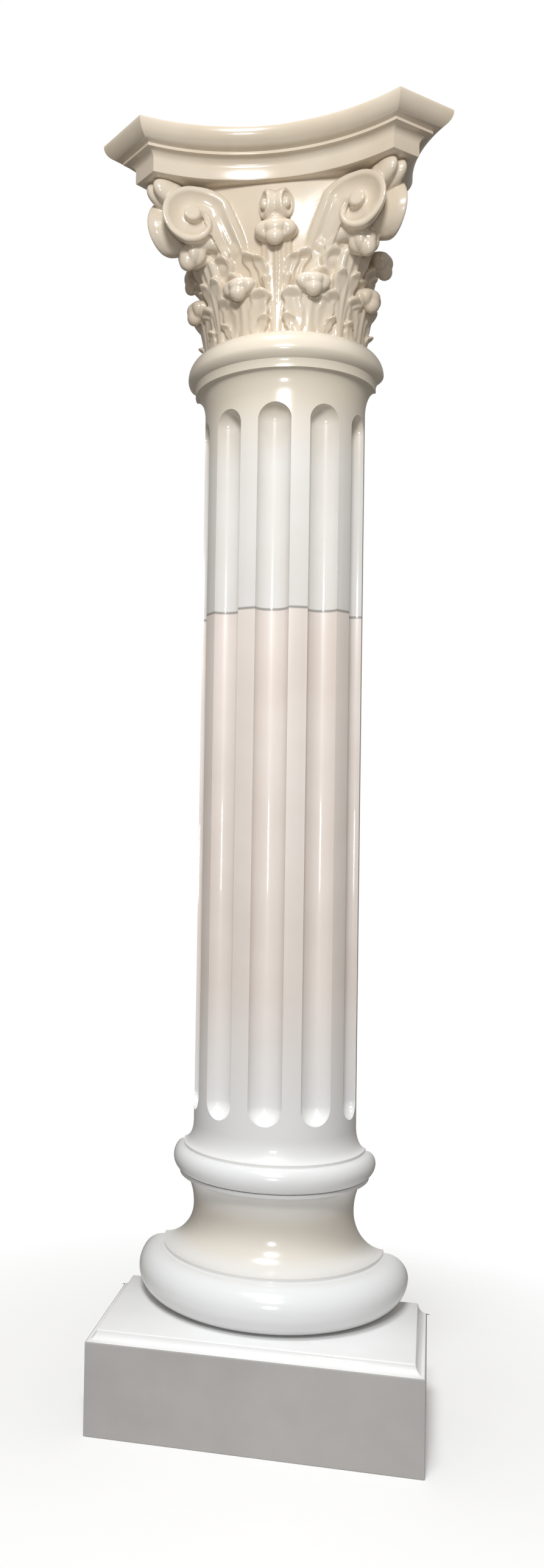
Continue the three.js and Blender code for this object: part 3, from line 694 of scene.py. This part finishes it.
def corner_scroll(side, twin):
    """One scroll and its stalk, on the front or the side face of a horn. Its band is skinned
    in two lengths that meet at one ring, before it laps over itself."""
    def put(spot):
        x, depth, z = spot
        if twin:
            x, depth = depth, x
        return Vector((side * x, wall - depth, z))

    def infront(place, back):
        return put((place[0], hollow(place[0], -setback) - back, place[1]))

    def behind(place):
        return put((place[0], place[0] - 0.004, place[1]))

    def polar(angle, distance):
        return (eye_across + distance * cos(radians(angle)), eye_z + distance * sin(radians(angle)))

    def mixed(first, second, share):
        return tuple(a + (b - a) * share for a, b in zip(first, second))

    def band(inner, outer, valley, sink, ridge=0, rim=0.70):
        front = []
        for i in range(17):
            share = i / 16
            if share < rim:
                depth = 0.004 + 0.010 * sin(pi * (share / rim) ** 0.8) ** 0.8
            else:
                depth = 0.004 * (1 - sin(pi / 2 * min(1, (share - rim) / 0.1)))
                depth += 0.003 * max(0, (share - 0.92) / 0.08) ** 2
            depth += ridge * sin(pi * share) * cos(7 * pi * share)
            front.append(infront(mixed(inner, outer, share), sink + depth))
        back = [infront(mixed(inner, outer, 1.015), sink + 0.007), infront(outer, sink + 0.020)]
        return front + back + [behind(mixed(inner, outer, valley)), behind(inner)]

    rings = []
    start = polar(wind_start, scroll_edge(wind_start))
    for i in range(stalk_steps):
        t = i / stalk_steps
        outer_x = stalk_outer + (start[0] - stalk_outer) * t ** 1.25
        outer = (outer_x, stalk_foot + (start[1] - stalk_foot) * t)
        inner_x = stalk_inner + (eye_across - eye_radius - stalk_inner) * t
        inner = (inner_x, stalk_foot + (eye_z - stalk_foot) * t)
        rings.append(band(inner, outer, 1, 0.056 * (1 - t) ** 1.3, 0.0024 * (1 - t) ** 0.7))
    for i in range(wind_steps + 1):
        angle = wind_start - wind_turn * i / wind_steps
        lapped = angle - 360 > wind_start - wind_turn
        inner = (scroll_edge(angle - 360) if lapped else eye_radius) - 0.003
        deeper = 0.009 * min(1, max(0, (-60 - angle) / 140))
        rings.append(band(polar(angle, inner), polar(angle, scroll_edge(angle)), 0.7, deeper))
    skin(rings[:lap + 1])
    skin(rings[lap:])
    eye = [[behind(polar(15 * j, 1.06 * eye_radius)) for j in range(24)]]
    for size, proud in ((1.06, -0.001), (1.0, -0.005), (0.84, -0.007)):
        eye.append([infront(polar(15 * j, size * eye_radius), proud) for j in range(24)])
    skin(eye)


for side in (-1, 1):
    corner_scroll(side, False)
    corner_scroll(side, True)
    bead(side * 45, 0.320, soffit - 0.016, 0.030, 0.040, 0.022)
    for half in (-2, 2):
        bead(side * 45 + half, 0.326, soffit - 0.022, 0.018, 0.044, 0.026, 0.3)
    for face in (33.2, 56.8):
        bead(side * face, 0.190, eye_z - 0.040, 0.044, 0.026, 0.045)

# The small double scroll over the middle leaf, on a short saddle.
small_z = soffit - 0.052
small_turn = 62
for side in (-1, 1):
    facing = Vector((side * sin(radians(small_turn)), -cos(radians(small_turn)), 0))
    level = Vector((cos(radians(small_turn)) * side, sin(radians(small_turn)), 0))
    middle = Vector((side * 0.017, wall - 0.214, small_z))
    rings = []
    disc = ((0.75, -0.014), (1, -0.008), (1, 0.006), (0.9, 0.010), (0.74, 0.010), (0.68, 0.006), (0.5, 0.005))
    for size, slide in disc:
        ring = []
        for j in range(32):
            angle = 2 * pi * j / 32
            spot = middle + facing * slide
            spot += level * 0.024 * size * cos(angle) + Vector((0, 0, 1)) * 0.031 * size * sin(angle)
            ring.append(spot)
        rings.append(ring)
    skin(rings)
    button = middle + facing * 0.008
    rings = []
    for size, slide in ((1, -0.008), (1, 0.002), (0.7, 0.006), (0.3, 0.0075)):
        ring = []
        for j in range(20):
            angle = 2 * pi * j / 20
            ring.append(button + facing * slide + level * 0.009 * size * cos(angle)
                        + Vector((0, 0, 1)) * 0.012 * size * sin(angle))
        rings.append(ring)
    skin(rings)
bead(0, 0.208, small_z + 0.002, 0.015, 0.022, 0.028)
bead(0, 0.208, small_z - 0.034, 0.020, 0.018, 0.018)

# The clay runs together, is softened, and is cut flat at the wall and at the shaft.
carving_data = bpy.data.meshes.new("carving")
carving_data.from_pydata([tuple(point) for point in clay_points], [], clay_faces)
capital = bpy.data.objects.new("capital_casting", carving_data)
bpy.context.collection.objects.link(capital)
bpy.ops.object.select_all(action="DESELECT")
bpy.context.view_layer.objects.active = capital
capital.select_set(True)
run = capital.modifiers.new("run", "REMESH")
run.mode = "VOXEL"
run.voxel_size = 0.0018
most_triangles = 170000
bpy.ops.object.modifier_apply(modifier="run")
soften = capital.modifiers.new("soften", "SMOOTH")
soften.factor = 0.5
soften.iterations = 6
bpy.ops.object.modifier_apply(modifier="soften")
bpy.ops.object.mode_set(mode="EDIT")
for place, normal in (((0, wall, 0), (0, 1, 0)), ((0, 0, neck_top), (0, 0, -1))):
    bpy.ops.mesh.select_all(action="SELECT")
    bpy.ops.mesh.bisect(plane_co=place, plane_no=normal, use_fill=True, clear_outer=True)
bpy.ops.object.mode_set(mode="OBJECT")
faces = sum(len(face.vertices) - 2 for face in capital.data.polygons)
if faces > most_triangles:
    thin = capital.modifiers.new("thin", "DECIMATE")
    thin.ratio = most_triangles / faces
    bpy.ops.object.modifier_apply(modifier="thin")
bpy.ops.object.shade_smooth_by_angle(angle=radians(60))


# The abacus: four hollow faces with cut horns, a fascia, a cove, a fillet and an ovolo.
def horn_across(outward):
    """Half width of the hollow face where the horn's cut meets it."""
    low, high = 0.1, 0.4
    for _ in range(40):
        middle = (low + high) / 2
        if middle + hollow(middle, outward) < (horn_reach + outward) * sqrt(2):
            low = middle
        else:
            high = middle
    return low


cove_reach = 0.020
cove_height = 0.016
fillet_reach = 0.023
fillet_height = 0.006
ovolo_reach = 0.035
ovolo_height = 0.032
levels = [(-0.003, soffit), (-0.001, soffit + 0.0008), (0, soffit + 0.003)]
cove_foot = soffit + 0.026
levels += arc(cove_reach, cove_foot, -cove_reach, cove_height, 0, 90, 10)
levels += [(fillet_reach, cove_foot + cove_height), (fillet_reach, cove_foot + cove_height + fillet_height)]
ovolo_top = capital_top - 0.003
levels += arc(fillet_reach, ovolo_top, ovolo_reach, -ovolo_height, 80, 0, 16)
levels += [(0.0573, ovolo_top + 0.002), (0.055, capital_top)]
rings = []
for outward, z in levels:
    horn = horn_across(outward)
    ring = [(hollow(horn * i / 24, outward), -horn * i / 24) for i in range(25)]
    ring += [(horn * (1 - i / 24), -hollow(horn * (1 - i / 24), outward)) for i in range(49)]
    ring += [(-hollow(horn * i / 24, outward), -horn * i / 24) for i in range(24, -1, -1)]
    rings.append([(x, wall + y, z) for x, y in ring])
count = len(rings[0])
points = [point for ring in rings for point in ring]
quads = []
for i in range(len(rings) - 1):
    for j in range(count):
        a = i * count + j
        b = i * count + (j + 1) % count
        quads.append((b, a, a + count, b + count))
quads.append(tuple(range(count)))
quads.append(tuple(reversed(range(len(points) - count, len(points)))))
abacus_data = bpy.data.meshes.new("abacus")
abacus_data.from_pydata(points, [], quads)
abacus = bpy.data.objects.new("abacus", abacus_data)
bpy.context.collection.objects.link(abacus)
bpy.ops.object.select_all(action="DESELECT")
bpy.context.view_layer.objects.active = abacus
abacus.select_set(True)
bpy.ops.object.mode_set(mode="EDIT")
bpy.ops.mesh.select_all(action="SELECT")
bpy.ops.mesh.normals_make_consistent(inside=False)
bpy.ops.object.mode_set(mode="OBJECT")
bpy.ops.object.shade_smooth_by_angle(angle=radians(28))
bpy.context.view_layer.objects.active = capital
capital.select_set(True)
bpy.ops.object.join()
capital.data.materials.append(
    enamel("capital_enamel", (0.715, 0.625, 0.505, 1), (0.645, 0.54, 0.41, 1), 0.13))
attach(capital, "root")
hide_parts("capital")

# A plain pale floor to stand on, which fades into the white paper behind the column.
bpy.ops.object.select_all(action="DESELECT")
bpy.ops.mesh.primitive_circle_add(vertices=96, radius=2.2, fill_type="NGON")
floor = bpy.context.object
floor.name = "floor"
ground = Finish("pale_floor")
scuffs = ground.noise(1.5, 3)
length = ground.add("ShaderNodeVectorMath", {"operation": "LENGTH"}, {0: ground.place})
away = Socket(ground, length.outputs["Value"])
floor.data.materials.append(ground.done({
    "Base Color": ground.blend(scuffs, (0.86, 0.855, 0.845, 1), (0.89, 0.885, 0.88, 1)),
    "Roughness": 0.6 + scuffs * 0.1,
    "Alpha": ground.range(away, 0.4, 1.2, 1, 0),
}))
